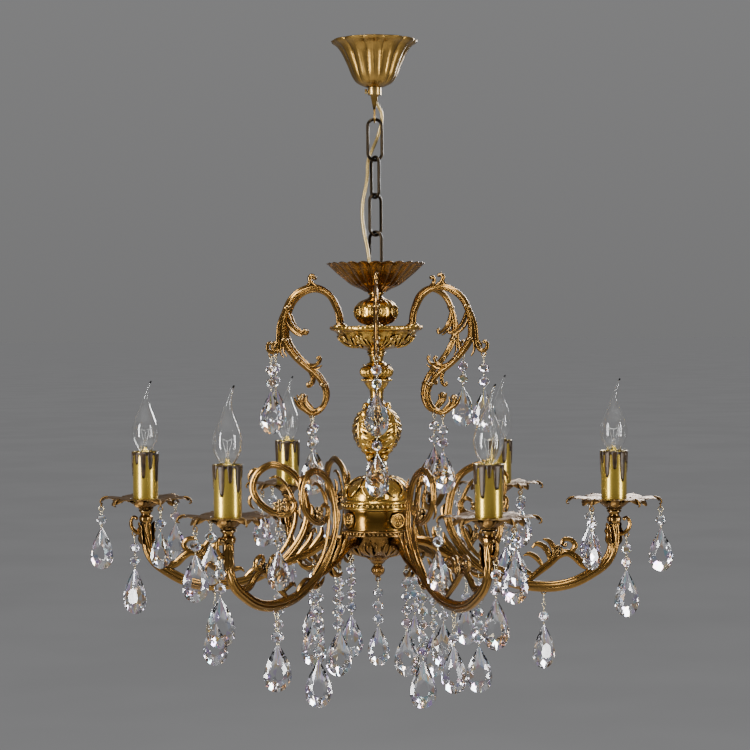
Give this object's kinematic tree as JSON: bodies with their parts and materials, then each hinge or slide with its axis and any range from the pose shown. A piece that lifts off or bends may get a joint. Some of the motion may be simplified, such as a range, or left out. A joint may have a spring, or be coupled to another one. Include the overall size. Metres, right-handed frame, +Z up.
{
  "type": "multi arm chandelier",
  "caption": "Classical chandelier of cast brass on a chain, with scrolled candle arms, scrolls round a carved column, candle-style lamps and hanging cut-crystal drops.",
  "frame": {"origin": "centre of the ceiling strap's top face, on the fixture's centre line, in the ceiling plane", "axes": "+Z up towards the ceiling, +X along the ceiling strap to the right as seen from the front, -Y towards the front"},
  "size_m": [0.7571, 0.678, 0.8457],
  "materials": {
    "plated_steel": "brass-plated, satin",
    "zinc_steel": "zinc-plated",
    "antique_brass": "aged, dark in the recesses and rubbed bright on the ribs",
    "dark_bronze": "dark aged bronze",
    "clear_cord": "clear sleeve over a gold-coloured twin cord",
    "red_bronze": "reddish aged bronze",
    "gilt_brass": "gilt, with brown wash in the recesses",
    "cast_brass": "cast, aged, with warm gold highlights",
    "candle_gold": "satin gold with dark brown wax drips",
    "holder_plastic": "dark phenolic",
    "bulb_glass": "clear, with a brass screw cap and filament",
    "cut_crystal": "cut crystal with an iridescent coat"
  },
  "bodies": {
    "ceiling_mount": {"ceiling_strap": "plated_steel", "hanging_stem": "plated_steel", "hanging_loop": "antique_brass", "canopy": "antique_brass", "canopy_collar": "antique_brass"},
    "set_screw": {"set_screw": "plated_steel"},
    "chain_link_1": {"chain_link_1": "dark_bronze"},
    "chain_link_2": {"chain_link_2": "dark_bronze", "supply_cord": "clear_cord"},
    "chain_link_3": {"chain_link_3": "dark_bronze"},
    "chain_link_4": {"chain_link_4": "dark_bronze"},
    "fixture": {"body_loop": "antique_brass", "upper_dish": "red_bronze", "embossed_ball": "antique_brass", "scroll_bowl": "antique_brass", "waist_ring": "antique_brass", "leaf_vase": "gilt_brass", "drum_dome": "gilt_brass", "drum_body": "gilt_brass", "drum_base": "gilt_brass", "finial": "red_bronze", "centre_rod": "zinc_steel", "rod_nuts": "zinc_steel", "scroll_1": "cast_brass", "scroll_2": "cast_brass", "scroll_3": "cast_brass", "scroll_4": "cast_brass", "scroll_5": "cast_brass", "scroll_6": "cast_brass", "scroll_screws": "plated_steel", "arm_1": "cast_brass", "arm_2": "cast_brass", "arm_3": "cast_brass", "arm_4": "cast_brass", "arm_5": "cast_brass", "arm_6": "cast_brass", "arm_nuts": "zinc_steel", "bobeches": "cast_brass", "candle_sleeves": "candle_gold", "lampholders": "holder_plastic", "crystal_drops": "cut_crystal"},
    "bulb_1": {"bulb_1": "bulb_glass"},
    "bulb_2": {"bulb_2": "bulb_glass"},
    "bulb_3": {"bulb_3": "bulb_glass"},
    "bulb_4": {"bulb_4": "bulb_glass"},
    "bulb_5": {"bulb_5": "bulb_glass"},
    "bulb_6": {"bulb_6": "bulb_glass"},
    "rim_drop_1": {"rim_drop_1": "cut_crystal"},
    "rim_drop_2": {"rim_drop_2": "cut_crystal"},
    "rim_drop_3": {"rim_drop_3": "cut_crystal"},
    "rim_drop_4": {"rim_drop_4": "cut_crystal"},
    "rim_drop_5": {"rim_drop_5": "cut_crystal"},
    "rim_drop_6": {"rim_drop_6": "cut_crystal"},
    "arm_drop_1": {"arm_drop_1": "cut_crystal"},
    "arm_drop_2": {"arm_drop_2": "cut_crystal"},
    "arm_drop_3": {"arm_drop_3": "cut_crystal"},
    "arm_drop_4": {"arm_drop_4": "cut_crystal"},
    "arm_drop_5": {"arm_drop_5": "cut_crystal"},
    "arm_drop_6": {"arm_drop_6": "cut_crystal"},
    "finial_drop": {"finial_drop": "cut_crystal"}
  },
  "joints": [
    {"name": "set_screw_turn", "type": "hinge", "parent": "ceiling_mount", "child": "set_screw", "pos_m": [-0.0092, 0, -0.0648], "axis": [1, 0, 0], "continuous": true},
    {"name": "chain_1_swing", "type": "hinge", "parent": "ceiling_mount", "child": "chain_link_1", "pos_m": [0, 0, -0.10465], "axis": [0, 1, 0], "range_deg": [-8, 8]},
    {"name": "chain_2_swing", "type": "hinge", "parent": "chain_link_1", "child": "chain_link_2", "pos_m": [0, 0, -0.1539], "axis": [0.9903, 0.1392, 0], "range_deg": [-8, 8]},
    {"name": "chain_3_swing", "type": "hinge", "parent": "chain_link_2", "child": "chain_link_3", "pos_m": [0, 0, -0.2025], "axis": [0.5299, -0.848, 0], "range_deg": [-8, 8], "deforming": ["supply_cord"]},
    {"name": "chain_4_swing", "type": "hinge", "parent": "chain_link_3", "child": "chain_link_4", "pos_m": [0, 0, -0.2511], "axis": [0.788, 0.6157, 0], "range_deg": [-8, 8]},
    {"name": "fixture_swing", "type": "hinge", "parent": "chain_link_4", "child": "fixture", "pos_m": [0, 0, -0.2997], "axis": [0.8192, -0.5736, 0], "range_deg": [-8, 8]},
    {"name": "bulb_1_turn", "type": "hinge", "parent": "fixture", "child": "bulb_1", "pos_m": [0.30484, -0.02667, -0.545], "axis": [0, 0, 1], "continuous": true},
    {"name": "bulb_2_turn", "type": "hinge", "parent": "fixture", "child": "bulb_2", "pos_m": [0.17551, 0.25066, -0.545], "axis": [0, 0, 1], "continuous": true},
    {"name": "bulb_3_turn", "type": "hinge", "parent": "fixture", "child": "bulb_3", "pos_m": [-0.12932, 0.27733, -0.545], "axis": [0, 0, 1], "continuous": true},
    {"name": "bulb_4_turn", "type": "hinge", "parent": "fixture", "child": "bulb_4", "pos_m": [-0.30484, 0.02667, -0.545], "axis": [0, 0, 1], "continuous": true},
    {"name": "bulb_5_turn", "type": "hinge", "parent": "fixture", "child": "bulb_5", "pos_m": [-0.17551, -0.25066, -0.545], "axis": [0, 0, 1], "continuous": true},
    {"name": "bulb_6_turn", "type": "hinge", "parent": "fixture", "child": "bulb_6", "pos_m": [0.12932, -0.27733, -0.545], "axis": [0, 0, 1], "continuous": true},
    {"name": "rim_drop_1_swing", "type": "hinge", "parent": "fixture", "child": "rim_drop_1", "pos_m": [0.36401, -0.03185, -0.6057], "axis": [0.0872, 0.9962, 0], "range_deg": [-20, 20]},
    {"name": "rim_drop_2_swing", "type": "hinge", "parent": "fixture", "child": "rim_drop_2", "pos_m": [0.20958, 0.29932, -0.6057], "axis": [-0.8192, 0.5736, 0], "range_deg": [-20, 20]},
    {"name": "rim_drop_3_swing", "type": "hinge", "parent": "fixture", "child": "rim_drop_3", "pos_m": [-0.15443, 0.33116, -0.6057], "axis": [-0.9063, -0.4226, 0], "range_deg": [-20, 20]},
    {"name": "rim_drop_4_swing", "type": "hinge", "parent": "fixture", "child": "rim_drop_4", "pos_m": [-0.36401, 0.03185, -0.6057], "axis": [-0.0872, -0.9962, 0], "range_deg": [-20, 20]},
    {"name": "rim_drop_5_swing", "type": "hinge", "parent": "fixture", "child": "rim_drop_5", "pos_m": [-0.20958, -0.29932, -0.6057], "axis": [0.8192, -0.5736, 0], "range_deg": [-20, 20]},
    {"name": "rim_drop_6_swing", "type": "hinge", "parent": "fixture", "child": "rim_drop_6", "pos_m": [0.15443, -0.33116, -0.6057], "axis": [0.9063, 0.4226, 0], "range_deg": [-20, 20]},
    {"name": "arm_drop_1_swing", "type": "hinge", "parent": "fixture", "child": "arm_drop_1", "pos_m": [0.21418, -0.01874, -0.7172], "axis": [0.9962, -0.0872, 0], "range_deg": [-20, 20]},
    {"name": "arm_drop_2_swing", "type": "hinge", "parent": "fixture", "child": "arm_drop_2", "pos_m": [0.12332, 0.17612, -0.7172], "axis": [0.5736, 0.8192, 0], "range_deg": [-20, 20]},
    {"name": "arm_drop_3_swing", "type": "hinge", "parent": "fixture", "child": "arm_drop_3", "pos_m": [-0.09086, 0.19486, -0.7172], "axis": [-0.4226, 0.9063, 0], "range_deg": [-20, 20]},
    {"name": "arm_drop_4_swing", "type": "hinge", "parent": "fixture", "child": "arm_drop_4", "pos_m": [-0.21418, 0.01874, -0.7172], "axis": [-0.9962, 0.0872, 0], "range_deg": [-20, 20]},
    {"name": "arm_drop_5_swing", "type": "hinge", "parent": "fixture", "child": "arm_drop_5", "pos_m": [-0.12332, -0.17612, -0.7172], "axis": [-0.5736, -0.8192, 0], "range_deg": [-20, 20]},
    {"name": "arm_drop_6_swing", "type": "hinge", "parent": "fixture", "child": "arm_drop_6", "pos_m": [0.09086, -0.19486, -0.7172], "axis": [0.4226, -0.9063, 0], "range_deg": [-20, 20]},
    {"name": "finial_drop_swing", "type": "hinge", "parent": "fixture", "child": "finial_drop", "pos_m": [0, 0, -0.7014], "axis": [1, 0, 0], "range_deg": [-20, 20]}
  ]
}
